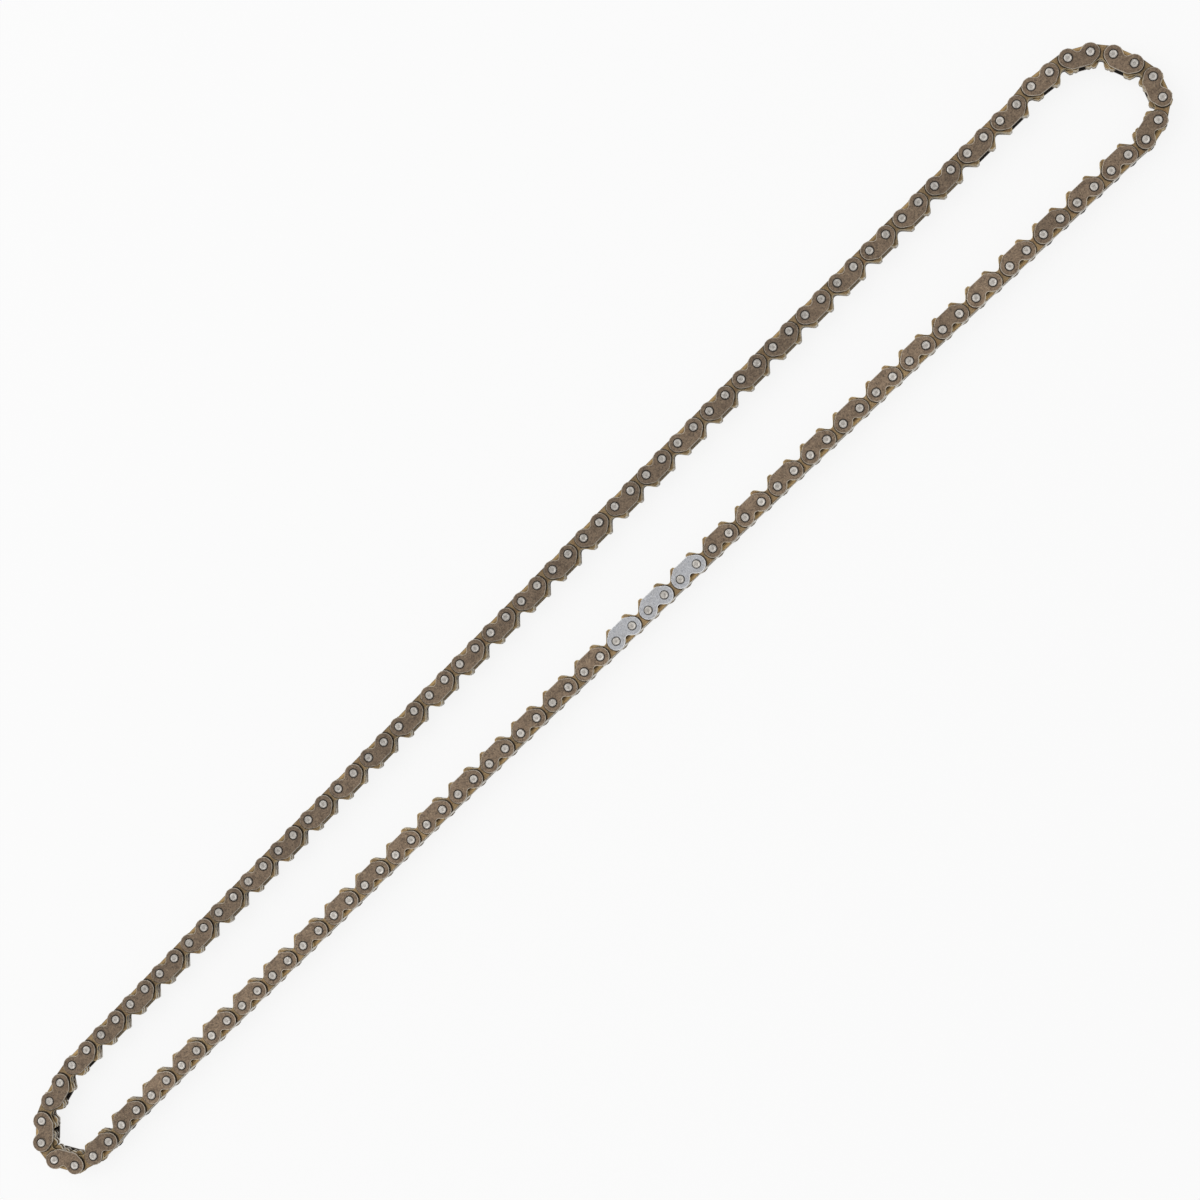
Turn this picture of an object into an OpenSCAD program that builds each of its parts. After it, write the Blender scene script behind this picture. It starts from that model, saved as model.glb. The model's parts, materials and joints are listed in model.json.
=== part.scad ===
// Silent timing chain: a closed loop of toothed plates laced on riveted pins,
// with a guide plate on each side of every second link. It lies flat, pins upright.
// +X runs along the loop, +Z along the pins; the origin is the loop's centre, on the surface it lies on.

/* [Loop] */
// Number of links round the loop, in steps of four
link_count = 144; // [96:4:200]
// Distance from pin to pin
pitch = 6.35; // [5.2:0.05:8]
// Turn spread along the back run, in degrees to the left seen from above
back_bow = 1.5; // [-6:0.5:6]
// Turn spread along the front run, in degrees to the left seen from above
front_bow = -1.5; // [-6:0.5:6]

/* [Lacing] */
// Toothed plates in a joint link; a guide link has one fewer, and two guide plates
joint_plates = 3; // [2:1:5]
// Thickness of every plate
plate_t = 0.9; // [0.6:0.05:1.4]
// Air between neighbouring plates along a pin
side_gap = 0.06; // [0.03:0.01:0.15]

/* [Toothed plates] */
// Air between the round ends of toothed plates that follow each other in a layer
end_gap = 0.65; // [0.4:0.05:1]
// Depth by which the straight back trims the round ends
back_trim = 0.45; // [0.2:0.05:0.7]
// Height of the tooth tips above the line of the pins
tooth_h = 4.15; // [3.6:0.05:4.6]
// Slope of the outer flank of a tooth, in degrees from square to the pin line
flank_angle = 32; // [28:0.5:36]
// Width of the flat on a tooth tip, between its rounded corners
tip_flat = 0.55; // [0.2:0.05:0.9]
// Radius of a tooth tip's corners
tip_r = 0.32; // [0.15:0.01:0.4]
// Height of the floor between the teeth above the line of the pins
crotch_floor = 1.55; // [1.3:0.05:1.9]
// Radius of that floor
crotch_r = 1.15; // [0.7:0.05:1.3]
// Bend that the tooth tips leave free beyond the tightest turn of the loop, in degrees
bend_spare = 1; // [0.5:0.5:4]
// Air left between two tooth tips at that bend
tip_gap = 0.08; // [0.05:0.01:0.2]

/* [Guide plates] */
// Air between the round ends of guide plates that follow each other
guide_end_gap = 1.05; // [0.8:0.05:1.4]
// Height of the straight edge on the tooth side above the line of the pins
guide_h = 3.47; // [3:0.01:3.6]
// Distance from a pin to the start of that edge, along the plate
guide_corner = 0.75; // [0.5:0.05:1.2]
// Radius where that edge turns to the round end
guide_corner_r = 1.1; // [0.6:0.05:1.6]
// Depth of the waist's floor below the line of the pins
waist_floor = 0.95; // [0.6:0.05:1.3]
// Radius of the waist's floor
waist_r = 1; // [0.6:0.05:1.1]
// Width of the countersink's slope round each pin end
countersink = 0.2; // [0.1:0.02:0.3]

/* [Pins] */
// Radius of a pin
pin_r = 1.12; // [0.85:0.01:1.35]
// Air between a pin and the hole of a toothed plate
running_gap = 0.04; // [0.02:0.01:0.08]
// Height of a riveted pin end above its guide plate
pin_proud = 0.3; // [0.15:0.05:0.5]
// Radius of the round edge that riveting leaves on a pin end
pin_edge = 0.18; // [0.08:0.02:0.25]
// Width of the dish that the riveting tool spins into a pin end
dish_w = 1.1; // [0.6:0.05:1.3]
// Depth of that dish
dish_depth = 0.06; // [0.03:0.01:0.12]

/* [Hidden] */
$fn = 64;
GUIDE_COLOUR = "#7b6d5c";
TOOTHED_COLOUR = "#8a7452";
MARKER_COLOUR = "#a9abb0";
PIN_COLOUR = "#c9c4be";

// Each run hangs in seven straight parts between hinge pins; each end is one curled part.
RUN_PARTS = 7;
RIGHT_END_LINKS = 19;
LEFT_END_LINKS = 13;
// Turn at each pin of an end's curl as it lies, in degrees, and the pin it starts at after the end's hinge
RIGHT_CURL = [-3, 17, 21, 35, 29, 11, 18, 22, 23, 1, 14, -6];
RIGHT_CURL_START = 5;
LEFT_CURL = [9, 5, 8, 21, 40, 38, 40, 16, 8, -7];
LEFT_CURL_START = 2;
// Links that carry a bright guide plate on top, to line the chain up with its sprockets
MARKED = [36, 38, 40];

layers = 2 * joint_plates + 1;
layer_step = plate_t + side_gap;
pin_length = layers * plate_t + (layers - 1) * side_gap + 2 * pin_proud;
bore_r = pin_r + running_gap;
end_r = (pitch - end_gap) / 2;
guide_r = (pitch - guide_end_gap) / 2;
back_depth = end_r - back_trim;
back_corner_angle = acos(back_depth / end_r);

// Pins are numbered to the left round the loop, seen from above, and link i joins pins i and i + 1.
// Even links are guide links, and their pins are pressed into them.
run_links = (link_count - RIGHT_END_LINKS - LEFT_END_LINKS) / 2;
front_start = 6;
right_start = front_start + run_links;
back_start = right_start + RIGHT_END_LINKS;
left_start = back_start + run_links;

function total(v) = len(v) == 0 ? 0 : v * [for (x = v) 1];
// A curl with its turns evened out to a given sum, and shifted towards its end by a skew
function evened(curl, sum, skew) =
    let (n = len(curl), extra = (sum - total(curl)) / n)
    [for (k = [0:n - 1]) curl[k] + extra + skew * (k - (n - 1) / 2)];
function right_curl(q) = evened(RIGHT_CURL, 180 + q[0], q[1]);
function left_curl(q) = evened(LEFT_CURL, 180 - q[0] - front_bow - back_bow, 0);
function in_list(v, k) = k >= 0 && k < len(v) ? v[k] : 0;
// Turn at pin i, for a loop whose runs spread by q[0] degrees and whose right curl is skewed by q[1]
function turn(i, right, left) =
    in_list(right, i - right_start - RIGHT_CURL_START)
    + in_list(left, (i - left_start - LEFT_CURL_START + link_count) % link_count)
    + (i > front_start && i <= right_start ? front_bow / run_links : 0)
    + (i > back_start && i <= left_start ? back_bow / run_links : 0);
function headings(q) =
    let (right = right_curl(q), left = left_curl(q))
    [for (i = 0, h = 0; i < link_count; i = i + 1, h = h + turn(i, right, left)) h];
function step(h) = pitch * [cos(h), sin(h)];
function open_gap(q) = let (h = headings(q)) [total([for (a = h) cos(a)]), total([for (a = h) sin(a)])];
// Newton's method: the spread and the skew that close the loop
FIRST_GUESS = [2, 0];
NEWTON_ROUNDS = 6;
function closed(q, rounds) = rounds == 0 ? q :
    let (d = 0.001, g = open_gap(q), a = (open_gap(q + [d, 0]) - g) / d, b = (open_gap(q + [0, d]) - g) / d,
         det = a[0] * b[1] - a[1] * b[0])
    closed(q - [g[0] * b[1] - g[1] * b[0], a[0] * g[1] - a[1] * g[0]] / det, rounds - 1);
lie = closed(FIRST_GUESS, NEWTON_ROUNDS);
loop_headings = headings(lie);
loop_points = [for (i = 0, p = [0, 0]; i < link_count; p = p + step(loop_headings[i]), i = i + 1) p];

// The loop's own axis runs midway between the runs; the loop is turned to lay it along X and then centred.
function middle(i, j) = (loop_points[i] + loop_points[j % link_count]) / 2;
loop_axis = middle(right_start, back_start) - middle(front_start, left_start);
axis_turn = -atan2(loop_axis[1], loop_axis[0]);
function turned(p) = [p[0] * cos(axis_turn) - p[1] * sin(axis_turn), p[0] * sin(axis_turn) + p[1] * cos(axis_turn)];
turned_points = [for (p = loop_points) turned(p)];
link_turn = [for (h = loop_headings) h + axis_turn];
// How far a toothed plate reaches from its pin towards angle a, with its back at angle b
function reach(a, b) = let (off = abs((a - b + 900) % 360 - 180)) off >= back_corner_angle ? end_r
    : end_r * cos(back_corner_angle - off);
function side(a) = max([for (i = [0:link_count - 1], k = [0, 1])
    turned_points[(i + k) % link_count] * [cos(a), sin(a)] + reach(a, link_turn[i] - 90)]);
centre = [side(0) - side(180), side(90) - side(270)] / 2;
pins_at = [for (p = turned_points) p - centre];

tightest_bend = max(concat(right_curl(lie), left_curl(lie))) + bend_spare;

// Outlines are lists of corners [x, y, radius], to the left round the plate. A negative radius is a hollow corner.
// The straight leg from corner a to corner b runs into both their arcs, a hair deeper than it would by touching
// them, so that every leg meets its arcs at one clear point.
LEG_BITE = 0.0006;
function leg(a, b) =
    let (ra = a[2] * (1 - LEG_BITE), rb = b[2] * (1 - LEG_BITE), d = [b[0] - a[0], b[1] - a[1]],
         h = atan2(d[1], d[0]) + asin((ra - rb) / norm(d)), n = [-sin(h), cos(h)])
    [[a[0], a[1]] - ra * n, [b[0], b[1]] - rb * n];
function legs(corners) = [for (i = [0:len(corners) - 1], p = leg(corners[i], corners[(i + 1) % len(corners)])) p];
function mirrored(corners) = [for (i = [len(corners) - 1:-1:0]) [pitch - corners[i][0], corners[i][1], corners[i][2]]];
module outline(corners) {
    difference() {
        union() {
            polygon(legs(corners));
            for (c = corners) if (c[2] > 0) translate([c[0], c[1]]) circle(c[2]);
        }
        for (c = corners) if (c[2] < 0) translate([c[0], c[1]]) circle(-c[2]);
        children();
    }
}

// The outer flank of the tooth at the second pin leaves the round end at flank_angle. Above it the relief keeps
// the tooth clear of the next tooth in its layer at the tightest bend.
relief = [cos(tightest_bend), sin(tightest_bend)];
relief_reach = (pitch - tip_gap) / 2;
flank = [cos(flank_angle), sin(flank_angle)];
knee = [end_r * relief[1] - relief_reach * flank[1], relief_reach * flank[0] - end_r * relief[0]]
    / (flank[0] * relief[1] - flank[1] * relief[0]);
tip_y = tooth_h - tip_r;
tip_out = (relief_reach - tip_r - relief[1] * tip_y) / relief[0];
tooth = [
    [pitch + knee[0], knee[1], 0],
    [pitch + tip_out, tip_y, tip_r],
    [pitch + tip_out - tip_flat, tip_y, tip_r],
];
toothed_corners = concat(
    [[0, 0, end_r], [pitch, 0, end_r]],
    tooth,
    [[pitch / 2, crotch_floor + crotch_r, -crotch_r]],
    mirrored(tooth)
);

// A waist of this radius would touch both round ends. A smaller one leaves a straight leg beside each.
waist_limit = (pow(pitch / 2, 2) + pow(waist_floor, 2) - pow(guide_r, 2)) / (2 * (guide_r - waist_floor));
WAIST_SHARE = 0.95;
waist_fit_r = min(waist_r, WAIST_SHARE * waist_limit);
guide_shoulder = [[pitch - guide_corner, guide_h - guide_corner_r, guide_corner_r]];
guide_corners = concat(
    [[0, 0, guide_r], [pitch / 2, -waist_floor - waist_fit_r, -waist_fit_r], [pitch, 0, guide_r]],
    guide_shoulder,
    mirrored(guide_shoulder)
);

module at_both_pins() {
    for (x = [0, pitch]) translate([x, 0]) children();
}

module toothed_plate() {
    linear_extrude(plate_t) outline(toothed_corners) {
        translate([-pitch, -back_depth - pitch]) square([3 * pitch, pitch]);
        at_both_pins() circle(bore_r);
    }
}

// The countersink faces up on the top plate and down on the bottom one.
module guide_plate(on_top) {
    difference() {
        linear_extrude(plate_t) outline(guide_corners) at_both_pins() circle(pin_r);
        at_both_pins() translate([0, 0, on_top ? plate_t : 0]) mirror([0, 0, on_top ? 1 : 0])
            cylinder(h = countersink, r1 = pin_r + countersink, r2 = pin_r);
    }
}

dish_r = (pow(dish_w / 2, 2) + pow(dish_depth, 2)) / (2 * dish_depth);
module pin() {
    difference() {
        rotate_extrude() {
            square([pin_r - pin_edge, pin_length]);
            translate([0, pin_edge]) square([pin_r, pin_length - 2 * pin_edge]);
            for (z = [pin_edge, pin_length - pin_edge]) translate([pin_r - pin_edge, z]) circle(pin_edge);
        }
        for (z = [dish_depth - dish_r, pin_length - dish_depth + dish_r]) translate([0, 0, z]) sphere(dish_r);
    }
}

module on_link(i, layer) {
    translate([pins_at[i][0], pins_at[i][1], pin_proud + layer * layer_step]) rotate(link_turn[i]) children();
}

function is_guide_link(i) = i % 2 == 0;
function is_marked(i) = len(search(i, MARKED)) > 0;

module guide_plates(links) {
    color(GUIDE_COLOUR) for (i = links) if (is_guide_link(i)) {
        on_link(i, 0) guide_plate(false);
        if (!is_marked(i)) on_link(i, layers - 1) guide_plate(true);
    }
}

module marker_plate(i) {
    color(MARKER_COLOUR) on_link(i, layers - 1) guide_plate(true);
}

module toothed_plates(links) {
    color(TOOTHED_COLOUR) for (i = links)
        for (layer = is_guide_link(i) ? [2:2:layers - 3] : [1:2:layers - 2]) on_link(i, layer) toothed_plate();
}

module pins(links) {
    color(PIN_COLOUR) for (i = links) if (is_guide_link(i))
        for (k = [i, i + 1]) translate([pins_at[k][0], pins_at[k][1], 0]) pin();
}

// A run's parts are cut at an even number of links, and counted from the left in both runs.
function cut(k) = 2 * round(k * run_links / RUN_PARTS / 2);
function links(first, last) = [for (i = [first:last]) i % link_count];
BODIES = concat(
    [
        ["left_end", links(left_start, link_count + front_start - 1)],
        ["right_end", links(right_start, back_start - 1)],
    ],
    [for (k = [0:RUN_PARTS - 1])
        [str("front_run_", k + 1), links(front_start + cut(k), front_start + cut(k + 1) - 1)]],
    [for (k = [0:RUN_PARTS - 1])
        [str("back_run_", RUN_PARTS - k), links(back_start + cut(k), back_start + cut(k + 1) - 1)]]
);
MARKER_NAMES = ["marker_plate_a", "marker_plate_b", "marker_plate_c"];

for (body = BODIES) {
    guide_plates(body[1]);
    toothed_plates(body[1]);
    pins(body[1]);
}
for (k = [0:len(MARKED) - 1])
    marker_plate(MARKED[k]);
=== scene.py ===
"""Silent cam chain: a closed loop of stamped steel plates on riveted pins, flat on a pale table."""
import json
import math
import random

import bpy
import numpy as np
from bpy.props import FloatProperty, FloatVectorProperty, PointerProperty
from mathutils import Matrix, Vector

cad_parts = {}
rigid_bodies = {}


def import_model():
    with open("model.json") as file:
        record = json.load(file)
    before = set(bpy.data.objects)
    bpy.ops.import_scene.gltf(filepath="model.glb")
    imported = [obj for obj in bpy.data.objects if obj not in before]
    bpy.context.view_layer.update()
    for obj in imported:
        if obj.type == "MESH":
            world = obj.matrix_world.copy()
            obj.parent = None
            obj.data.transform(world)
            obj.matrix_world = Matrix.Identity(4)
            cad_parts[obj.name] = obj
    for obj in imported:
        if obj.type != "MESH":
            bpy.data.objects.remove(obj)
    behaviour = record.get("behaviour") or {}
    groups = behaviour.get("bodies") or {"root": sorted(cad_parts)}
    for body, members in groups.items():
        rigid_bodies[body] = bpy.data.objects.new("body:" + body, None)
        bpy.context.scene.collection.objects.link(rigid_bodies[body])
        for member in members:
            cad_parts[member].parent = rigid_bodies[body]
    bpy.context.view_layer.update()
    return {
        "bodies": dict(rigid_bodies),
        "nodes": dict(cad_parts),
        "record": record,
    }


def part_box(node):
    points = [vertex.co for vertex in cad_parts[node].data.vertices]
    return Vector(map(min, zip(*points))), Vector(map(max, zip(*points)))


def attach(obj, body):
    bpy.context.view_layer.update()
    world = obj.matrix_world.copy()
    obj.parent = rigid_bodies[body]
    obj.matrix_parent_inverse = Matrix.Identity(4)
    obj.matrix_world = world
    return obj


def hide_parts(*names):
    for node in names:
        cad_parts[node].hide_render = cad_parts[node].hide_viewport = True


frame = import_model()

bl_info = {
    "name": "Silent cam chain",
    "version": (1, 0, 0),
    "blender": (4, 5, 0),
    "location": "3D View > Sidebar > Chain",
    "description": "Builds the plates, pins and finishes of a silent cam chain on its packed frame",
    "category": "Object",
}

MM = 0.001

# Layers of plates along a pin, counted from below. Guide plates are the first and the last.
TOP = 6
GUIDE_LINK_LAYERS = (2, 4)
JOINT_LINK_LAYERS = (1, 3, 5)

# Each shape is repeated hundreds of times, so it has few faces.
ARC_STEP = math.radians(24)
HOLE_SIDES = 10
PIN_SIDES = 12
PLATE_SMOOTH_ANGLE = math.radians(32)
PIN_SMOOTH_ANGLE = math.radians(50)

# Points of an outline that are nearer than this are one point.
MERGE_WITHIN = 0.002 * MM

# How far a drill goes on past a plate's face, when it only drills and when it also countersinks
DRILL_SPARE = 0.2 * MM
COUNTERSINK_SPARE = 0.05 * MM

# A polygon whose normal's z is over LEVEL is part of a face, and one under STEEP is part of a wall.
# The wall whose normal's y is past SQUARE is the ground back.
LEVEL = 0.95
STEEP = 0.3
SQUARE = 0.99

# A sloping polygon belongs to the countersink if its middle is nearer to a pin than the pin's
# radius and this many countersinks.
COUNTERSINK_REACH = 1.5

# The die rolls less off a toothed plate than off a guide plate: this share.
TOOTHED_ROLL = 0.7

# The slope round a pin end's dish, as a share of the radius of its dull middle
DISH_SLOPE = 0.4

# The riveting tool leaves no two pin ends alike. These are how many pins are modelled, and how far
# the tool sinks a point of an end and draws it in.
PIN_VARIANTS = 4
PEEN_DEPTH = 0.05 * MM
PEEN_SHRINK = 0.07

# A blotch that takes no share of a surface starts at this value of its noise, and one that takes
# all of it starts lower by the span. It is full higher up by the edge.
BLOTCH_START = 0.62
BLOTCH_SPAN = 0.3
BLOTCH_EDGE = 0.22

# For each kind of piece, the seed of its random draws and how far its copies' tints differ
VARIATION = {"guide": (4, 0.1), "marker": (9, 0.02), "toothed": (2, 0.12), "pin": (7, 0.08)}

# Painted shade: how light the plates and the pins are painted in the front run, in the back run
# and in the two ends, for how the light falls on each. The front run's plates are the palest, and
# the back run's plates and pins are the darkest.
PLATE_PAINTED_SHADE = {"front": 0.96, "back": 0.74, "left": 0.84, "right": 0.84}
PIN_PAINTED_SHADE = {"front": 1.0, "back": 0.82, "left": 1.0, "right": 1.0}

# The table's width in metres, and the share of plain white in what the camera sees of it
TABLE_SIZE = 6.0
TABLE_GLOW = 0.86

# The share of full white at which the sky lights the chain, and the softbox in metres and watts
SKY_LIGHT = 0.55
SOFTBOX_PLACE = (-0.55, 1.2, 1.3)
SOFTBOX_SIZE = 2.0
SOFTBOX_POWER = 17.0

# The camera, fitted to the photograph's pins and walls: its place and near limit in metres, and its
# lens and sensor in millimetres
CAMERA_PLACE = Vector((104.2, -100.9, 851.7)) * MM
CAMERA_TURN = [math.radians(degrees) for degrees in (0.36, 9.28, -44.33)]
CAMERA_LENS = 90.3
CAMERA_SENSOR = 36.0
CAMERA_NEAR = 0.01

# Where each pin stands


def pin_centres(node, apart=3 * MM):
    """The centres of the pins in a CAD node. Points nearer than apart belong to one pin."""
    mesh = frame["nodes"][node].data
    points = np.array([v.co for v in mesh.vertices])[:, :2]
    centres = []
    while len(points):
        own = np.linalg.norm(points - points[0], axis=1) < apart
        centres.append(Vector((points[own].min(0) + points[own].max(0)) / 2))
        points = points[~own]
    return centres


def chain_order():
    """Every pin as (centre, body), in order to the left round the loop, from the first guide link
    of the front run."""
    waiting = [(c, body) for body in frame["bodies"] for c in pin_centres(f"{body}_pins")]
    start = min((p for p in waiting if p[1] == "front_run_1"), key=lambda p: p[0].x)
    order = [start]
    waiting.remove(start)
    while waiting:
        near = sorted(waiting, key=lambda p: (p[0] - order[-1][0]).length)
        # The first step goes to the pin of the same guide link, and so sets the way round.
        step = next(p for p in near if len(order) > 1 or p[1] == start[1])
        order.append(step)
        waiting.remove(step)
    return order


PINS = chain_order()
PITCH = (PINS[1][0] - PINS[0][0]).length
PIN_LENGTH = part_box("left_end_pins")[1].z


def links_of(body, guide):
    """(first pin's centre, angle) of each guide link, or of each joint link, that a body carries.
    A joint link from one body to another rides on the left one, as its CAD plates do."""
    found = []
    for i, first in enumerate(PINS):
        second = PINS[(i + 1) % len(PINS)]
        left = min(first, second, key=lambda pin: pin[0].x)
        if left[1] == body and (i % 2 == 0) == guide:
            along = second[0] - first[0]
            found.append((first[0], math.atan2(along.y, along.x)))
    return found


def marker_links():
    """Each marker plate's node with its body and the guide link whose middle is nearest to it."""
    found = {}
    for node in sorted(n for n in frame["nodes"] if n.startswith("marker_plate")):
        low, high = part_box(node)
        middle = (low.xy + high.xy) / 2

        def away(link):
            centre, angle = link
            return (centre + Vector((math.cos(angle), math.sin(angle))) * PITCH / 2 - middle).length

        bodies = frame["record"]["behaviour"]["bodies"]
        body = next(b for b, nodes in bodies.items() if node in nodes)
        found[node] = (body, min(links_of(body, True), key=away))
    return found


# Sizes and colours that a user would change


def linear(code):
    """An sRGB hex colour as linear red, green, blue and alpha."""
    parts = [int(code[i:i + 2], 16) / 255 for i in (1, 3, 5)]
    light = (c / 12.92 if c <= 0.04045 else ((c + 0.055) / 1.055) ** 2.4 for c in parts)
    return tuple(light) + (1.0,)


def size(name, default_mm, description):
    """A length as a property."""
    return FloatProperty(name=name, description=description, default=default_mm * MM, min=0,
                         unit="LENGTH", precision=5)


def colour(name, code, description):
    """A colour as a property."""
    return FloatVectorProperty(name=name, description=description, default=linear(code), size=4,
                               min=0, max=1, subtype="COLOR")


class ChainSizes(bpy.types.PropertyGroup):
    """Sizes of the stamped plates and the riveted pins"""
    plate_t: size("Plate thickness", 0.9, "Thickness of every plate")
    side_gap: size("Side gap", 0.06, "Air between neighbouring plates along a pin")
    pin_r: size("Pin radius", 1.12, "Radius of a pin")
    running_gap: size("Running gap", 0.04, "Air between a pin and the hole of a toothed plate")
    pin_proud: size("Pin height", 0.3, "Height of a riveted end above its guide plate")
    pin_edge: size("Pin edge", 0.18, "Width of the sloping edge of a riveted end")
    dish_r: size("Dish radius", 0.55, "Radius of the dull middle of a riveted end's dish")
    dish_depth: size("Dish depth", 0.06, "Depth of that dish")
    countersink: size("Countersink", 0.2, "Width and depth of the slope round a pin end")
    edge_roll: size("Rolled edge", 0.16, "Width that the die rolls off a guide plate's edge")
    end_r: size("Toothed plate end", 2.85, "Radius of a toothed plate's round ends")
    back_depth: size("Back", 2.4, "Depth of a toothed plate's ground back below the pins")
    knee_out: size("Knee reach", 1.339, "Reach of a tooth's widest point beyond its pin")
    knee_h: size("Knee height", 3.236, "Height of that point above the pins")
    tip_h: size("Tooth height", 4.15, "Height of the tooth tips above the pins")
    tip_r: size("Tip radius", 0.32, "Radius of a tip's corners")
    tip_out: size("Tip reach", 0.397, "Reach of a tip's outer corner beyond its pin")
    tip_flat: size("Tip flat", 0.55, "Width of the flat between a tip's corners")
    crotch_floor: size("Crotch floor", 1.55, "Height of the floor between the teeth above the pins")
    crotch_r: size("Crotch radius", 1.15, "Radius of that floor")
    guide_r: size("Guide plate end", 2.65, "Radius of a guide plate's round ends")
    guide_h: size("Guide plate height", 3.47, "Height of its straight edge above the pins")
    guide_corner: size("Guide plate corner", 0.75, "Distance from a pin to the start of that edge")
    guide_corner_r: size("Corner radius", 1.1, "Radius where that edge turns to the round end")
    waist_floor: size("Waist floor", 0.95, "Depth of the waist's floor below the pins")
    waist_r: size("Waist radius", 1.0, "Radius of the waist's floor")


class ChainColours(bpy.types.PropertyGroup):
    """Colours of the finishes"""
    guide: colour("Guide plate", "#86725e", "Grey-brown oxide of the guide plates")
    guide_dark: colour("Guide plate, dark", "#675544", "Darker patches of that oxide")
    toothed: colour("Toothed plate", "#a0865f", "Straw-brown temper colour of the toothed plates")
    toothed_dark: colour("Toothed plate, dark", "#6d593a", "Darker patches of that temper colour")
    rust: colour("Rust", "#8a623d", "Thin rust bloom on the toothed plates")
    rim: colour("Rolled edge", "#c9bdac", "Metal that shows through the oxide at a rolled edge")
    wall: colour("Sheared wall", "#95866c", "Sheared walls of the toothed plates")
    back: colour("Ground back", "#e0dcd3", "Ground backs of the toothed plates")
    marker: colour("Marker plate", "#a9aaad", "Zinc plating of the marker plates")
    marker_dark: colour("Marker plate, dark", "#8b8d92", "Darker grain of that plating")
    pin: colour("Pin", "#bdb8b1", "Burnished steel of the riveted pin ends")
    pin_dark: colour("Pin, dark", "#a29d97", "Dull steel in the middle of a pin end")
    table: colour("Table", "#f4f4f4", "The pale table under the chain")


# Finishes


def add_node(tree, kind, settings=None, **inputs):
    """Adds a node. An input is named by its own name, or by i and its number, and takes a value or
    another node's output."""
    node = tree.nodes.new(kind)
    for key, value in (settings or {}).items():
        setattr(node, key, value)
    for key, value in inputs.items():
        socket = node.inputs[int(key[1:]) if key[1:].isdigit() else key.replace("_", " ")]
        if isinstance(value, bpy.types.NodeSocket):
            tree.links.new(value, socket)
        else:
            socket.default_value = value
    return node


def empty_tree(owner):
    """The node tree of a material or a world, with nothing in it."""
    owner.use_nodes = True
    owner.node_tree.nodes.clear()
    return owner.node_tree


def plate_place(tree):
    """A point's place in its own plate, in pitches: the pins are at (0, 0) and (1, 0), and the
    teeth point along Y."""
    return add_node(tree, "ShaderNodeUVMap", {"uv_map": "plate"}).outputs["UV"]


def from_pin(tree):
    """The distance from the nearest pin of the plate."""
    away = [add_node(tree, "ShaderNodeVectorMath", {"operation": "DISTANCE"},
                     i0=plate_place(tree), i1=(x, 0, 0)).outputs["Value"] for x in (0, 1)]
    return add_node(tree, "ShaderNodeMath", {"operation": "MINIMUM"},
                    i0=away[0], i1=away[1]).outputs[0]


def above_pins(tree):
    """The height above the line of the pins, towards the tooth tips."""
    return add_node(tree, "ShaderNodeSeparateXYZ", Vector=plate_place(tree)).outputs["Y"]


def beyond_pins(tree):
    """How far a point lies beyond the nearest pin, towards the plate's round end."""
    along = add_node(tree, "ShaderNodeSeparateXYZ", Vector=plate_place(tree)).outputs["X"]
    # Half a pitch along is the plate's middle, and each pin is half a pitch from there.
    from_middle = add_node(tree, "ShaderNodeMath", {"operation": "SUBTRACT"},
                           i0=along, i1=0.5).outputs[0]
    distance = add_node(tree, "ShaderNodeMath", {"operation": "ABSOLUTE"},
                        i0=from_middle).outputs[0]
    return add_node(tree, "ShaderNodeMath", {"operation": "SUBTRACT"},
                    i0=distance, i1=0.5).outputs[0]


def metal(name, base, metallic, roughness, blotches, zones=(), bump_mm=0.0, stretch=(1, 1, 1)):
    """A metal finish. A blotch is (colour, size in mm, strength, share of the surface), and the
    last blotch's grain also makes the bump. A zone is (colour, strength, measure, mm where it is
    full, mm where it has faded out). Stretch is how much denser the grain is along each axis."""
    material = bpy.data.materials.new(name)
    tree = empty_tree(material)
    shader = add_node(tree, "ShaderNodeBsdfPrincipled", Metallic=metallic, Roughness=roughness)
    add_node(tree, "ShaderNodeOutputMaterial", Surface=shader.outputs["BSDF"])
    place = add_node(tree, "ShaderNodeMapping", Scale=stretch,
                     Vector=add_node(tree, "ShaderNodeTexCoord").outputs["Object"])
    found = base
    for tone, size_mm, strength, share in blotches:
        noise = add_node(tree, "ShaderNodeTexNoise", Vector=place.outputs["Vector"],
                         Scale=1 / (size_mm * MM), Detail=3.0, Roughness=0.6)
        start = BLOTCH_START - BLOTCH_SPAN * share
        grain = add_node(tree, "ShaderNodeMapRange", Value=noise.outputs["Fac"], From_Min=start,
                         From_Max=start + BLOTCH_EDGE, To_Max=strength).outputs["Result"]
        found = add_node(tree, "ShaderNodeMix", {"data_type": "RGBA"},
                         i0=grain, i6=found, i7=tone).outputs[2]
    for tone, strength, measure, full_mm, gone_mm in zones:
        fade = add_node(tree, "ShaderNodeMapRange", {"interpolation_type": "SMOOTHSTEP"},
                        Value=measure(tree), From_Min=gone_mm * MM / PITCH,
                        From_Max=full_mm * MM / PITCH, To_Max=strength).outputs["Result"]
        found = add_node(tree, "ShaderNodeMix", {"data_type": "RGBA"},
                         i0=fade, i6=found, i7=tone).outputs[2]
    # This attribute multiplies the colour by each plate's own tone and by its run's painted shade.
    tint_and_painted_shade = add_node(tree, "ShaderNodeAttribute", {"attribute_name": "tint_and_painted_shade"}).outputs["Fac"]
    found = add_node(tree, "ShaderNodeMix", {"data_type": "RGBA", "blend_type": "MULTIPLY"},
                     i0=1.0, i6=found, i7=tint_and_painted_shade).outputs[2]
    tree.links.new(found, shader.inputs["Base Color"])
    if bump_mm:
        bump = add_node(tree, "ShaderNodeBump", Height=grain, Distance=bump_mm * MM)
        tree.links.new(bump.outputs["Normal"], shader.inputs["Normal"])
    return material


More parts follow.
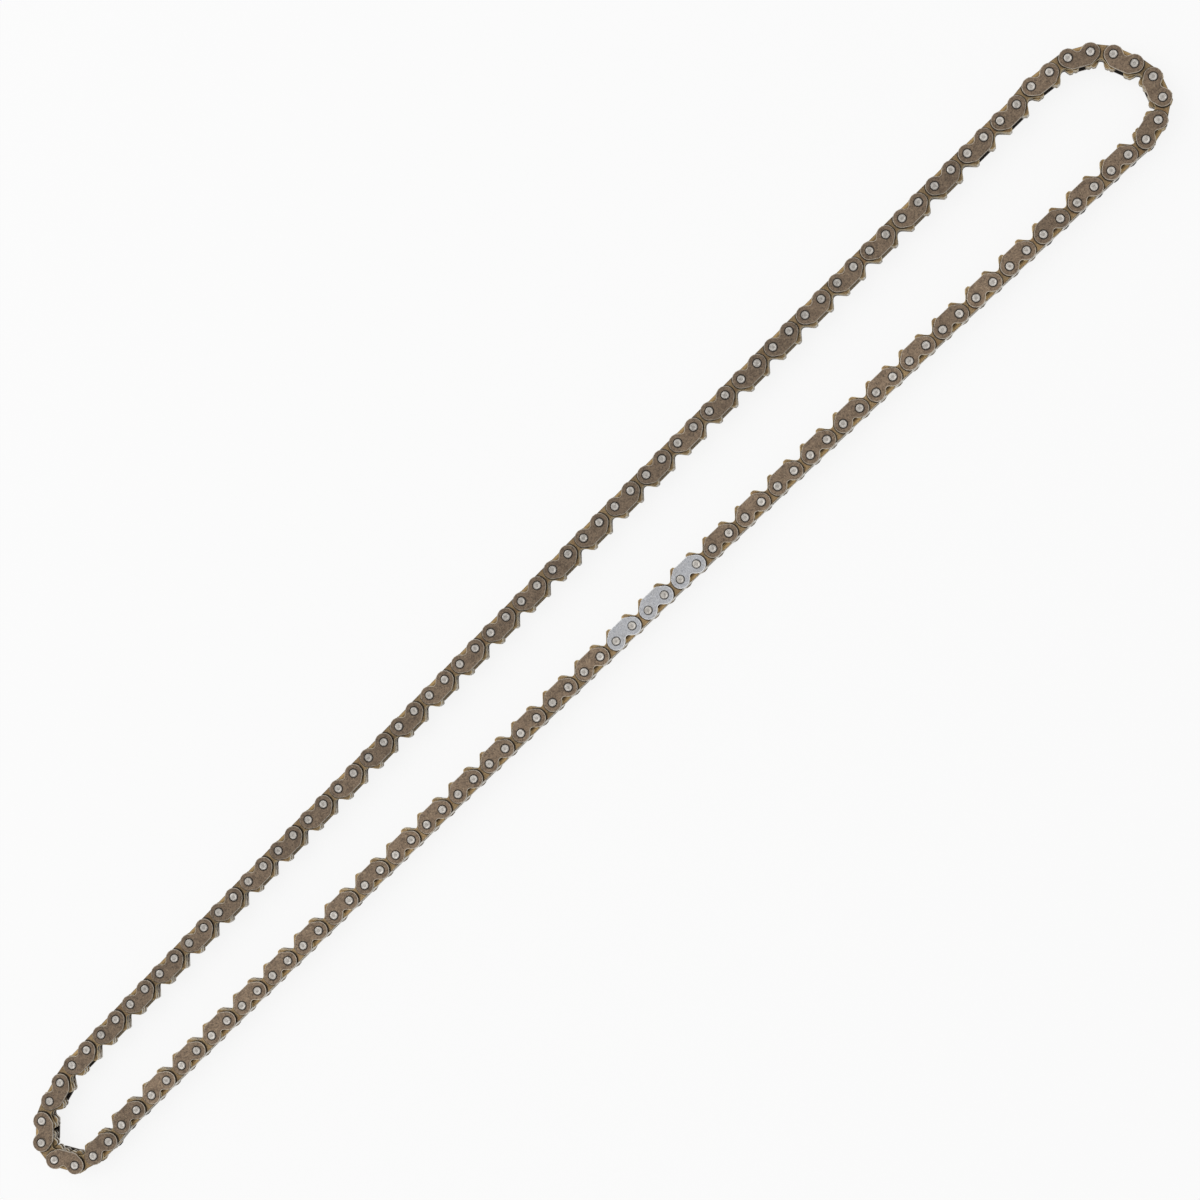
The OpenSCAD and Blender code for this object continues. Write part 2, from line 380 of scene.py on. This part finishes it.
def oxidised_guide_steel(colours):
    """Carbon steel plate, blanked, hardened and oil-blackened. It reads as a matte grey-brown with
    a fine mottle, with a black ring round each pin of old oil and painted shadow from the pin end."""
    return metal("guide_plate_oxidised_steel", colours.guide, metallic=0.5, roughness=0.55,
                 blotches=[(colours.guide_dark, 2.4, 0.8, 0.5), (linear("#ab977c"), 0.7, 0.7, 0.35),
                           (linear("#3b3229"), 0.42, 0.75, 0.5)],
                 zones=[(linear("#28211a"), 0.85, from_pin, 1.3, 1.6)], bump_mm=0.02)


def oil_and_painted_shade_steel():
    """A guide plate's countersinks and inner side, darkened with old oil and painted shade: the
    shade in the countersink round each pin end and in the gaps of the chain. It reads as a nearly
    black ring round each pin end, and keeps the gaps in the chain dark."""
    return metal("guide_plate_oil_and_painted_shade", linear("#1f1a15"), metallic=0.2, roughness=0.5,
                 blotches=[(linear("#3a322a"), 0.5, 0.6, 0.4)])


def rubbed_inner_steel(colours):
    """The inner side of a guide plate, rubbed paler by the toothed plates that turn against it, and
    palest beside its straight edge."""
    return metal("guide_plate_rubbed_inner_side", linear("#a39279"), metallic=0.5, roughness=0.5,
                 blotches=[(colours.guide, 1.6, 0.8, 0.45), (linear("#5d4f40"), 0.4, 0.6, 0.4)],
                 zones=[(linear("#cdbb9c"), 0.9, above_pins, 3.2, 2.5)], bump_mm=0.01)


def guide_wall_painted_shade_steel():
    """The sheared wall of a guide plate, painted nearly black as the shade on the wall and in the
    gap below it. It draws a thin dark line beside the plate, and its straight edge is left out of
    the painted shade, as brown as the face. The die's streaks are drawn 0.3 mm wide, coarser than
    real, so that they show."""
    return metal("guide_plate_wall_painted_shade", linear("#3a3128"), metallic=0.5, roughness=0.5,
                 blotches=[(linear("#675a4c"), 1.3, 0.6, 0.35),
                           (linear("#1f1a15"), 0.3, 0.6, 0.45)],
                 zones=[(linear("#7d6d5a"), 0.85, above_pins, 3.3, 2.7)],
                 bump_mm=0.012, stretch=(1, 1, 0.2))


def tempered_toothed_steel(colours, name, zones_with_painted_shade):
    """Spring steel plate, tempered straw-brown, with a thin rust bloom in places. It is browner and
    warmer than the guide plates, and black with old oil and painted shade in the zones that lie
    beside and under other plates."""
    return metal(name, colours.toothed, metallic=0.45, roughness=0.5,
                 blotches=[(colours.toothed_dark, 1.7, 0.8, 0.5), (colours.rust, 2.3, 0.6, 0.4),
                           (linear("#3c2f1c"), 0.4, 0.65, 0.5)],
                 zones=zones_with_painted_shade, bump_mm=0.02)


def tooth_wall_steel(colours):
    """The sheared wall of a toothed plate, in streaks from the die, drawn 0.3 mm wide so that they
    show. The sprockets have rubbed it bright near the tips, old oil and painted shade darken it
    between the teeth, and the round ends have the temper's pale gold, made paler by a painted
    highlight."""
    return metal("toothed_plate_sheared_wall", colours.wall, metallic=0.6, roughness=0.42,
                 blotches=[(colours.rust, 1.5, 0.55, 0.35), (linear("#4a3c2a"), 0.3, 0.7, 0.5)],
                 zones=[(linear("#241d15"), 0.9, above_pins, 1.9, 2.8),
                        (linear("#c3ad80"), 0.65, above_pins, -0.3, 0.9),
                        (linear("#d4d0c7"), 0.9, above_pins, 3.5, 2.8)],
                 bump_mm=0.012, stretch=(1, 1, 0.15))


def ground_back_steel(colours):
    """The backs of the toothed plates, ground bright together, so that the tensioner shoe runs on
    one smooth face. They read as pale strips. The grinding lines are drawn 0.25 mm wide, coarser
    than real, so that they show."""
    return metal("toothed_plate_ground_back", colours.back, metallic=0.6, roughness=0.4,
                 blotches=[(linear("#9c968b"), 0.25, 0.4, 0.35)], bump_mm=0.005,
                 stretch=(0.1, 1, 1))


def zinc_marker_steel(colours):
    """Zinc plate on stamped steel: a satin light grey with a faint blue cast and a crystal speckle,
    dark round the pins with dirt and painted shadow from the pin ends. The speckle is drawn 0.4 mm
    wide, coarser than real, so that it shows."""
    return metal("marker_plate_zinc", colours.marker, metallic=0.6, roughness=0.42,
                 blotches=[(linear("#9f9d9b"), 2.0, 0.6, 0.45), (linear("#cbccd0"), 0.7, 0.6, 0.35),
                           (colours.marker_dark, 0.4, 0.9, 0.5)],
                 zones=[(linear("#4a4846"), 0.7, from_pin, 1.25, 1.5)], bump_mm=0.02)


def rubbed_edge_steel(name, bright, dull, zones=()):
    """The edge that the stamping die rolls off a plate, rubbed until the bare metal shows as a thin
    pale line, or a wall that is as bare."""
    return metal(name, bright, metallic=0.7, roughness=0.4, blotches=[(dull, 0.9, 0.9, 0.4)],
                 zones=zones)


def riveted_rim_steel(colours):
    """The edge of a pin end, hammered and burnished by the riveting tool: the brightest metal on
    the chain."""
    return metal("pin_riveted_rim", colours.pin, metallic=0.6, roughness=0.45,
                 blotches=[(linear("#e3dfd9"), 0.9, 0.6, 0.4), (linear("#847e77"), 0.5, 0.8, 0.45)],
                 bump_mm=0.025)


def riveted_dish_steel(colours):
    """The middle of a pin end's dish, where the riveting tool's point turned, dull grey and
    pitted."""
    return metal("pin_riveted_dish", colours.pin_dark, metallic=0.6, roughness=0.45,
                 blotches=[(linear("#c4c0ba"), 0.6, 0.8, 0.35),
                           (linear("#7b766f"), 0.45, 0.8, 0.45)],
                 bump_mm=0.03)


def seen_directly(tree):
    """1 for rays from the camera and those that metal or glass reflects or passes on, and 0 for the
    rays that light the chain."""
    ray = add_node(tree, "ShaderNodeLightPath").outputs
    seen = ray["Is Camera Ray"]
    for kind in ("Is Glossy Ray", "Is Transmission Ray"):
        seen = add_node(tree, "ShaderNodeMath", {"operation": "MAXIMUM"},
                        i0=seen, i1=ray[kind]).outputs[0]
    return seen


def table_material(colours):
    """Matte white table. The camera sees it nearly white, with a faint shadow of the chain."""
    material = bpy.data.materials.new("table_matte_white")
    tree = empty_tree(material)
    matte = add_node(tree, "ShaderNodeBsdfPrincipled", Base_Color=colours.table, Roughness=0.9)
    glow = add_node(tree, "ShaderNodeEmission", Strength=1.0)
    share = add_node(tree, "ShaderNodeMapRange", Value=seen_directly(tree), To_Max=TABLE_GLOW)
    both = add_node(tree, "ShaderNodeMixShader", i0=share.outputs["Result"],
                    i1=matte.outputs["BSDF"], i2=glow.outputs["Emission"])
    add_node(tree, "ShaderNodeOutputMaterial", Surface=both.outputs[0])
    return material


# Modelling steps


def deselect():
    """Leaves edit mode and selects nothing."""
    if bpy.context.object and bpy.context.object.mode != "OBJECT":
        bpy.ops.object.mode_set(mode="OBJECT")
    bpy.ops.object.select_all(action="DESELECT")


def activate(piece):
    """Selects one piece alone."""
    deselect()
    piece.select_set(True)
    bpy.context.view_layer.objects.active = piece


def edit(piece, mode, wanted):
    """Opens a piece in edit mode with only the faces or edges selected that wanted says."""
    activate(piece)
    bpy.ops.object.mode_set(mode="EDIT")
    bpy.ops.mesh.select_mode(type=mode)
    bpy.ops.mesh.select_all(action="DESELECT")
    bpy.ops.object.mode_set(mode="OBJECT")
    for part in {"EDGE": piece.data.edges, "FACE": piece.data.polygons}[mode]:
        part.select = wanted(part)
    bpy.ops.object.mode_set(mode="EDIT")


def leg(a, b):
    """The straight leg between two corners (x, y, radius), touching both on the right. A negative
    radius is hollow."""
    along = Vector((b[0] - a[0], b[1] - a[1]))
    lean = math.asin(max(-1.0, min(1.0, (a[2] - b[2]) / along.length)))
    heading = math.atan2(along.y, along.x) + lean
    out = Vector((math.sin(heading), -math.cos(heading)))
    return Vector(a[:2]) + a[2] * out, Vector(b[:2]) + b[2] * out


def draw_outline(name, corners):
    """Draws a closed outline, to the left round the plate, with a vertex that is spun round each
    corner and extruded along each leg."""
    legs = [leg(a, b) for a, b in zip(corners, corners[1:] + corners[:1])]
    start = legs[-1][1]
    deselect()
    bpy.ops.mesh.primitive_plane_add(size=MM, location=(start.x, start.y, 0))
    piece = bpy.context.object
    piece.name = name
    bpy.ops.object.transform_apply(location=True, rotation=False, scale=False)
    bpy.ops.object.mode_set(mode="EDIT")
    bpy.ops.mesh.select_mode(type="VERT")
    bpy.ops.mesh.select_all(action="SELECT")
    bpy.ops.mesh.merge(type="CENTER")
    for k, corner in enumerate(corners):
        arrive, depart = legs[k - 1][1], legs[k][0]
        if corner[2]:
            middle = Vector(corner[:2])
            sweep = (depart - middle).angle_signed(arrive - middle) % math.tau
            if corner[2] < 0:
                sweep -= math.tau
            bpy.ops.mesh.spin(steps=max(1, math.ceil(abs(sweep) / ARC_STEP)), angle=-sweep,
                              center=(middle.x, middle.y, 0), axis=(0, 0, 1))
        run = legs[k][1] - depart
        bpy.ops.mesh.extrude_region_move(TRANSFORM_OT_translate={"value": (run.x, run.y, 0)})
    bpy.ops.mesh.select_all(action="SELECT")
    bpy.ops.mesh.remove_doubles(threshold=MERGE_WITHIN)
    bpy.ops.mesh.edge_face_add()
    bpy.ops.object.mode_set(mode="OBJECT")
    return piece


def thicken(piece, thickness, roll):
    """Extrudes a flat outline upwards and rolls its upper edge off."""
    edit(piece, "FACE", lambda face: True)
    bpy.ops.mesh.extrude_region_move(TRANSFORM_OT_translate={"value": (0, 0, thickness)})
    bpy.ops.mesh.select_all(action="SELECT")
    bpy.ops.mesh.normals_make_consistent(inside=False)
    bpy.ops.object.mode_set(mode="OBJECT")
    upper = [v.co.z > thickness / 2 for v in piece.data.vertices]
    edit(piece, "EDGE", lambda edge: all(upper[v] for v in edge.vertices))
    bpy.ops.mesh.bevel(offset=roll, segments=1, affect="EDGES", clamp_overlap=True)
    bpy.ops.object.mode_set(mode="OBJECT")


def punch(piece, radius, thickness, countersink=0.0):
    """Punches a hole at each pin, and countersinks its upper edge. The radius is that of the hole's
    corners."""
    depth = thickness + 2 * countersink + 2 * DRILL_SPARE
    for x in (0, PITCH):
        deselect()
        bpy.ops.mesh.primitive_cylinder_add(
            vertices=HOLE_SIDES, radius=radius, depth=depth, end_fill_type="NGON",
            location=(x, 0, thickness - countersink - depth / 2))
        drill = bpy.context.object
        bpy.ops.object.transform_apply(location=True, rotation=False, scale=False)
        edit(drill, "FACE", lambda face: face.normal.z > LEVEL)
        if countersink:
            # The drill widens at 45 degrees and goes on above the plate's face.
            rise = countersink + COUNTERSINK_SPARE
            grow = (radius + rise) / radius
            bpy.ops.mesh.extrude_region_move(TRANSFORM_OT_translate={"value": (0, 0, rise)})
            bpy.ops.transform.resize(value=(grow, grow, 1), center_override=(x, 0, thickness))
        else:
            bpy.ops.transform.translate(value=(0, 0, DRILL_SPARE))
        bpy.ops.mesh.select_all(action="SELECT")
        bpy.ops.mesh.normals_make_consistent(inside=False)
        bpy.ops.object.mode_set(mode="OBJECT")
        activate(piece)
        cut = piece.modifiers.new("punch", "BOOLEAN")
        cut.operation, cut.solver, cut.object = "DIFFERENCE", "EXACT", drill
        bpy.ops.object.modifier_apply(modifier=cut.name)
        bpy.data.objects.remove(drill)


def finish_plate(piece, finishes, part_of):
    """Gives the plate its finishes, each polygon the one whose number part_of says, and the plate
    the UV map that plate_place reads."""
    mesh = piece.data
    mesh.materials.clear()
    for finish in finishes:
        mesh.materials.append(finish)
    for polygon in mesh.polygons:
        polygon.material_index = part_of(polygon)
    while mesh.uv_layers:
        mesh.uv_layers.remove(mesh.uv_layers[0])
    uv = mesh.uv_layers.new(name="plate")
    for loop in mesh.loops:
        place = mesh.vertices[loop.vertex_index].co
        uv.data[loop.index].uv = (place.x / PITCH, place.y / PITCH)
    activate(piece)
    bpy.ops.object.shade_smooth_by_angle(angle=PLATE_SMOOTH_ANGLE)


# The numbers of the finishes on a guide plate, and of the ground back on a toothed plate
FACE, WALL, RIM, COUNTERSINK, INNER_SIDE = range(5)
GROUND_BACK = 3


def outer_part(polygon):
    """Face, wall or rolled edge of a plate."""
    upright = abs(polygon.normal.z)
    return FACE if upright > LEVEL else WALL if upright < STEEP else RIM


def guide_plate_part(polygon, sizes):
    """Face, wall, rolled edge, countersink or inner side of a guide plate."""
    if polygon.normal.z < -LEVEL:
        return INNER_SIDE
    centre = polygon.center.xy
    from_nearest_pin = min(centre.length, (centre - Vector((PITCH, 0))).length)
    near = from_nearest_pin < sizes.pin_r + COUNTERSINK_REACH * sizes.countersink
    return COUNTERSINK if near and abs(polygon.normal.z) < LEVEL else outer_part(polygon)


def toothed_plate_part(polygon):
    """Face, wall, rolled edge or ground back of a toothed plate."""
    return GROUND_BACK if polygon.normal.y < -SQUARE else outer_part(polygon)


def joined(pieces, name):
    """The pieces as one piece of that name."""
    deselect()
    for piece in pieces:
        piece.select_set(True)
    bpy.context.view_layer.objects.active = pieces[0]
    if len(pieces) > 1:
        bpy.ops.object.join()
    pieces[0].name = pieces[0].data.name = name
    return pieces[0]


def stand(master, places, name, rng, spread, painted_shade=1.0):
    """Copies of a master at each place, joined to one piece. Each copy's tint is the painted shade,
    give or take the spread."""
    copies = []
    for place in places:
        copy = master.copy()
        copy.data = master.data.copy()
        copy.data.transform(place)
        tint_and_painted_shade = painted_shade * (1 + spread * (2 * rng.random() - 1))
        copy.data.attributes.new("tint_and_painted_shade", "FLOAT", "FACE").data.foreach_set(
            "value", [tint_and_painted_shade] * len(copy.data.polygons))
        bpy.context.scene.collection.objects.link(copy)
        copies.append(copy)
    return joined(copies, name)


def painted_shade_of(shades, body):
    """The painted shade of the run or end that a body belongs to."""
    return shades[body.split("_")[0]]


def hand_over(piece, node, body):
    """Lets a piece stand for its CAD node and ride on that node's body."""
    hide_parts(node)
    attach(piece, body)


def link_place(link, layer, sizes):
    """Where a plate of a link lies. The plates below the middle are turned over, so that every
    rolled edge faces out of the chain."""
    centre, angle = link
    z = sizes.pin_proud + layer * (sizes.plate_t + sizes.side_gap)
    place = Matrix.Translation((centre.x, centre.y, z)) @ Matrix.Rotation(angle, 4, "Z")
    if layer < TOP / 2:
        middle = Matrix.Translation((PITCH / 2, 0, sizes.plate_t / 2))
        place = place @ middle @ Matrix.Rotation(math.pi, 4, "Y") @ middle.inverted()
    return place


def remove(pieces):
    """Removes the masters, once their copies stand."""
    for piece in pieces:
        bpy.data.objects.remove(piece)


# The pieces


def mirrored(corners):
    """The same corners at the other end of the plate."""
    return [(PITCH - x, y, radius) for x, y, radius in reversed(corners)]


def guide_plate_master(sizes, finishes):
    """One guide plate: round ends, a waist on the back, and a straight edge on the tooth side."""
    shoulder = [(PITCH - sizes.guide_corner, sizes.guide_h - sizes.guide_corner_r,
                 sizes.guide_corner_r)]
    piece = draw_outline("guide_plate_master", [
        (0, 0, sizes.guide_r),
        (PITCH / 2, -sizes.waist_floor - sizes.waist_r, -sizes.waist_r),
        (PITCH, 0, sizes.guide_r),
    ] + shoulder + mirrored(shoulder))
    thicken(piece, sizes.plate_t, sizes.edge_roll)
    punch(piece, sizes.pin_r, sizes.plate_t, sizes.countersink)
    finish_plate(piece, finishes, lambda polygon: guide_plate_part(polygon, sizes))
    return piece


def toothed_plate_master(sizes, finishes):
    """One toothed plate: round ends trimmed by a straight ground back, and two teeth with a round
    floor between."""
    back_end = math.sqrt(sizes.end_r ** 2 - sizes.back_depth ** 2)
    tip_y = sizes.tip_h - sizes.tip_r
    tooth = [
        (PITCH + sizes.knee_out, sizes.knee_h, 0.0),
        (PITCH + sizes.tip_out, tip_y, sizes.tip_r),
        (PITCH + sizes.tip_out - sizes.tip_flat, tip_y, sizes.tip_r),
    ]
    crotch = [(PITCH / 2, sizes.crotch_floor + sizes.crotch_r, -sizes.crotch_r)]
    piece = draw_outline("toothed_plate_master", [
        (-back_end, -sizes.back_depth, 0.0),
        (PITCH + back_end, -sizes.back_depth, 0.0),
        (PITCH, 0, sizes.end_r),
    ] + tooth + crotch + mirrored(tooth) + [(0, 0, sizes.end_r)])
    thicken(piece, sizes.plate_t, TOOTHED_ROLL * sizes.edge_roll)
    # The flats of the hole stay clear of the pin too, so that the plate can turn.
    hole_r = (sizes.pin_r + sizes.running_gap) / math.cos(math.pi / HOLE_SIDES)
    punch(piece, hole_r, sizes.plate_t)
    finish_plate(piece, finishes, toothed_plate_part)
    return piece


def pin_master(sizes, finishes, seed):
    """One riveted pin. The riveting tool leaves each end a little out of round, with a sloping
    edge and a shallow dish."""
    deselect()
    bpy.ops.mesh.primitive_cylinder_add(vertices=PIN_SIDES, radius=sizes.pin_r, depth=PIN_LENGTH,
                                        location=(0, 0, PIN_LENGTH / 2), end_fill_type="NGON")
    piece = bpy.context.object
    piece.name = "pin_master"
    bpy.ops.object.transform_apply(location=True, rotation=False, scale=False)
    edit(piece, "FACE", lambda face: abs(face.normal.z) > LEVEL)
    bpy.ops.mesh.bevel(offset=sizes.pin_edge, segments=1, affect="EDGES")
    # The first inset draws the dull middle, and the second slopes all of the end down to the dish.
    for thickness, depth in ((sizes.pin_r - sizes.pin_edge - sizes.dish_r, 0.0),
                             (DISH_SLOPE * sizes.dish_r, -sizes.dish_depth)):
        edit(piece, "FACE", lambda face: abs(face.normal.z) > LEVEL)
        bpy.ops.mesh.inset(thickness=thickness, depth=depth)
    bpy.ops.object.mode_set(mode="OBJECT")
    rng = random.Random(seed)
    for vertex in piece.data.vertices:
        low = vertex.co.z < PIN_LENGTH / 2
        from_end = vertex.co.z if low else PIN_LENGTH - vertex.co.z
        if from_end < sizes.pin_edge / 2:
            vertex.co.z += (1 if low else -1) * PEEN_DEPTH * rng.random()
            vertex.co.xy *= 1 - PEEN_SHRINK * rng.random()
    for finish in finishes:
        piece.data.materials.append(finish)
    for polygon in piece.data.polygons:
        reach = max(piece.data.vertices[v].co.xy.length for v in polygon.vertices)
        polygon.material_index = int(reach < sizes.dish_r)
    activate(piece)
    bpy.ops.object.shade_smooth_by_angle(angle=PIN_SMOOTH_ANGLE)
    return piece


class CHAIN_OT_guide_plates(bpy.types.Operator):
    """Model the grey-brown guide plates on both sides of each guide link"""
    bl_idname = "chain.guide_plates"
    bl_label = "Guide plates"

    def execute(self, context):
        sizes, colours = context.scene.chain_sizes, context.scene.chain_colours
        oil_and_painted_shade = oil_and_painted_shade_steel()
        outside = (
            oxidised_guide_steel(colours),
            guide_wall_painted_shade_steel(),
            rubbed_edge_steel("guide_plate_rubbed_edge", colours.rim, linear("#83786b")),
            oil_and_painted_shade,
        )
        # The inner sides of the bent ends' guide plates are darkened with old oil and painted
        # shade, and the runs are dry there.
        masters = {True: guide_plate_master(sizes, outside + (oil_and_painted_shade,)),
                   False: guide_plate_master(sizes, outside + (rubbed_inner_steel(colours),))}
        seed, spread = VARIATION["guide"]
        rng = random.Random(seed)
        marked = [link for _, link in marker_links().values()]
        for body in frame["bodies"]:
            places = []
            for link in links_of(body, True):
                places.append(link_place(link, 0, sizes))
                if link not in marked:
                    places.append(link_place(link, TOP, sizes))
            piece = stand(masters[body.endswith("_end")], places, f"guide_plates_of_{body}", rng,
                          spread, painted_shade_of(PLATE_PAINTED_SHADE, body))
            hand_over(piece, f"{body}_guide_plates", body)
        remove(masters.values())
        return {"FINISHED"}


class CHAIN_OT_marker_plates(bpy.types.Operator):
    """Model the three zinc-plated guide plates that mark the timing position"""
    bl_idname = "chain.marker_plates"
    bl_label = "Marker plates"

    def execute(self, context):
        sizes, colours = context.scene.chain_sizes, context.scene.chain_colours
        master = guide_plate_master(sizes, (
            zinc_marker_steel(colours),
            rubbed_edge_steel("marker_plate_sheared_wall", linear("#7d7b78"), linear("#55524e")),
            # The marker plate's rolled edge is bare metal, painted near white as a highlight as
            # well.
            rubbed_edge_steel("marker_plate_rubbed_edge_and_painted_highlight", linear("#f2f2f3"), linear("#bcbdc1")),
            oil_and_painted_shade_steel(),
            rubbed_inner_steel(colours),
        ))
        seed, spread = VARIATION["marker"]
        rng = random.Random(seed)
        for node, (body, link) in marker_links().items():
            piece = stand(master, [link_place(link, TOP, sizes)], f"zinc_{node}", rng, spread)
            hand_over(piece, node, body)
        remove([master])
        return {"FINISHED"}


class CHAIN_OT_toothed_plates(bpy.types.Operator):
    """Model the inverted-tooth plates, three in a joint link and two in a guide link"""
    bl_idname = "chain.toothed_plates"
    bl_label = "Toothed plates"

    def execute(self, context):
        sizes, colours = context.scene.chain_sizes, context.scene.chain_colours
        oil_and_painted_shade = linear("#211a12")
        edges = (
            tooth_wall_steel(colours),
            rubbed_edge_steel("toothed_plate_rubbed_edge", linear("#d0bb90"), linear("#8a744f"),
                              [(linear("#4a3b28"), 0.85, above_pins, -2.3, -2.0)]),
            ground_back_steel(colours),
        )
        # Old oil and painted shadow lie beside a guide plate's round ends, and under its middle. A
        # joint link's round ends are clean.
        joint_face = tempered_toothed_steel(colours, "toothed_plate_tempered_steel", [
            (oil_and_painted_shade, 0.9, from_pin, 2.82, 3.06),
            (linear("#bda271"), 0.9, beyond_pins, 0.7, 0.1),
        ])
        guide_face = tempered_toothed_steel(colours, "toothed_plate_covered_steel", [
            (oil_and_painted_shade, 0.9, above_pins, -0.9, -1.4),
            (linear("#c4a470"), 0.9, above_pins, -2.0, -1.3),
            (colours.toothed, 1.0, above_pins, 3.3, 2.9),
        ])
        masters = {guide: toothed_plate_master(sizes, (face,) + edges)
                   for guide, face in ((True, guide_face), (False, joint_face))}
        layers = {True: GUIDE_LINK_LAYERS, False: JOINT_LINK_LAYERS}
        seed, spread = VARIATION["toothed"]
        rng = random.Random(seed)
        for body in frame["bodies"]:
            name = f"toothed_plates_of_{body}"
            parts = []
            for guide, master in masters.items():
                places = [link_place(link, layer, sizes)
                          for link in links_of(body, guide) for layer in layers[guide]]
                parts.append(stand(master, places, name, rng, spread,
                                   painted_shade_of(PLATE_PAINTED_SHADE, body)))
            hand_over(joined(parts, name), f"{body}_toothed_plates", body)
        remove(masters.values())
        return {"FINISHED"}


class CHAIN_OT_pins(bpy.types.Operator):
    """Model the pins, riveted over at both ends"""
    bl_idname = "chain.pins"
    bl_label = "Pins"

    def execute(self, context):
        sizes, colours = context.scene.chain_sizes, context.scene.chain_colours
        finishes = (riveted_rim_steel(colours), riveted_dish_steel(colours))
        masters = [pin_master(sizes, finishes, seed) for seed in range(PIN_VARIANTS)]
        seed, spread = VARIATION["pin"]
        rng = random.Random(seed)
        for body in frame["bodies"]:
            name = f"pins_of_{body}"
            spots = [centre for centre, owner in PINS if owner == body]
            parts = []
            for k, master in enumerate(masters):
                places = [Matrix.Translation((spot.x, spot.y, 0))
                          @ Matrix.Rotation(math.tau * rng.random(), 4, "Z")
                          for spot in spots[k::PIN_VARIANTS]]
                parts.append(stand(master, places, name, rng, spread, painted_shade_of(PIN_PAINTED_SHADE, body)))
            hand_over(joined(parts, name), f"{body}_pins", body)
        remove(masters)
        return {"FINISHED"}


class CHAIN_OT_stage(bpy.types.Operator):
    """Add the pale table, soft studio light and the camera at the photograph's angle"""
    bl_idname = "chain.stage"
    bl_label = "Stage"

    def execute(self, context):
        scene = context.scene
        deselect()
        bpy.ops.mesh.primitive_plane_add(size=TABLE_SIZE, location=(0, 0, 0))
        table = context.object
        table.name = "table"
        table.data.materials.append(table_material(scene.chain_colours))

        scene.world = bpy.data.worlds.new("studio")
        tree = empty_tree(scene.world)
        strength = add_node(tree, "ShaderNodeMapRange", Value=seen_directly(tree),
                            To_Min=SKY_LIGHT, To_Max=1.0).outputs["Result"]
        sky = add_node(tree, "ShaderNodeBackground", Color=(1, 1, 1, 1), Strength=strength)
        add_node(tree, "ShaderNodeOutputWorld", Surface=sky.outputs[0])

        bpy.ops.object.light_add(type="AREA", location=SOFTBOX_PLACE)
        lamp = context.object
        lamp.name = "softbox"
        lamp.rotation_euler = (-lamp.location).to_track_quat("-Z", "Y").to_euler()
        lamp.data.shape = "SQUARE"
        lamp.data.size = SOFTBOX_SIZE
        lamp.data.energy = SOFTBOX_POWER

        view = bpy.data.cameras.new("camera")
        camera = bpy.data.objects.new("camera", view)
        scene.collection.objects.link(camera)
        camera.location = CAMERA_PLACE
        camera.rotation_euler = CAMERA_TURN
        view.sensor_width = CAMERA_SENSOR
        view.lens = CAMERA_LENS
        view.clip_start = CAMERA_NEAR
        scene.camera = camera
        scene.view_settings.view_transform = "Standard"
        return {"FINISHED"}


OPERATORS = (CHAIN_OT_toothed_plates, CHAIN_OT_guide_plates, CHAIN_OT_marker_plates,
             CHAIN_OT_pins, CHAIN_OT_stage)


class CHAIN_PT_pieces(bpy.types.Panel):
    """The chain's pieces in the sidebar"""
    bl_idname = "CHAIN_PT_pieces"
    bl_label = "Cam chain"
    bl_space_type = "VIEW_3D"
    bl_region_type = "UI"
    bl_category = "Chain"

    def draw(self, context):
        for operator in OPERATORS:
            self.layout.operator(operator.bl_idname)
        for group in (context.scene.chain_sizes, context.scene.chain_colours):
            box = self.layout.box()
            for key in group.bl_rna.properties.keys():
                if key not in ("rna_type", "name"):
                    box.prop(group, key)


CLASSES = (ChainSizes, ChainColours) + OPERATORS + (CHAIN_PT_pieces,)


def register():
    for item in CLASSES:
        bpy.utils.register_class(item)
    bpy.types.Scene.chain_sizes = PointerProperty(type=ChainSizes)
    bpy.types.Scene.chain_colours = PointerProperty(type=ChainColours)


def unregister():
    del bpy.types.Scene.chain_sizes
    del bpy.types.Scene.chain_colours
    for item in reversed(CLASSES):
        bpy.utils.unregister_class(item)


def main():
    register()
    bpy.ops.chain.toothed_plates()
    bpy.ops.chain.guide_plates()
    bpy.ops.chain.marker_plates()
    bpy.ops.chain.pins()
    bpy.ops.chain.stage()


if __name__ == "__main__":
    main()
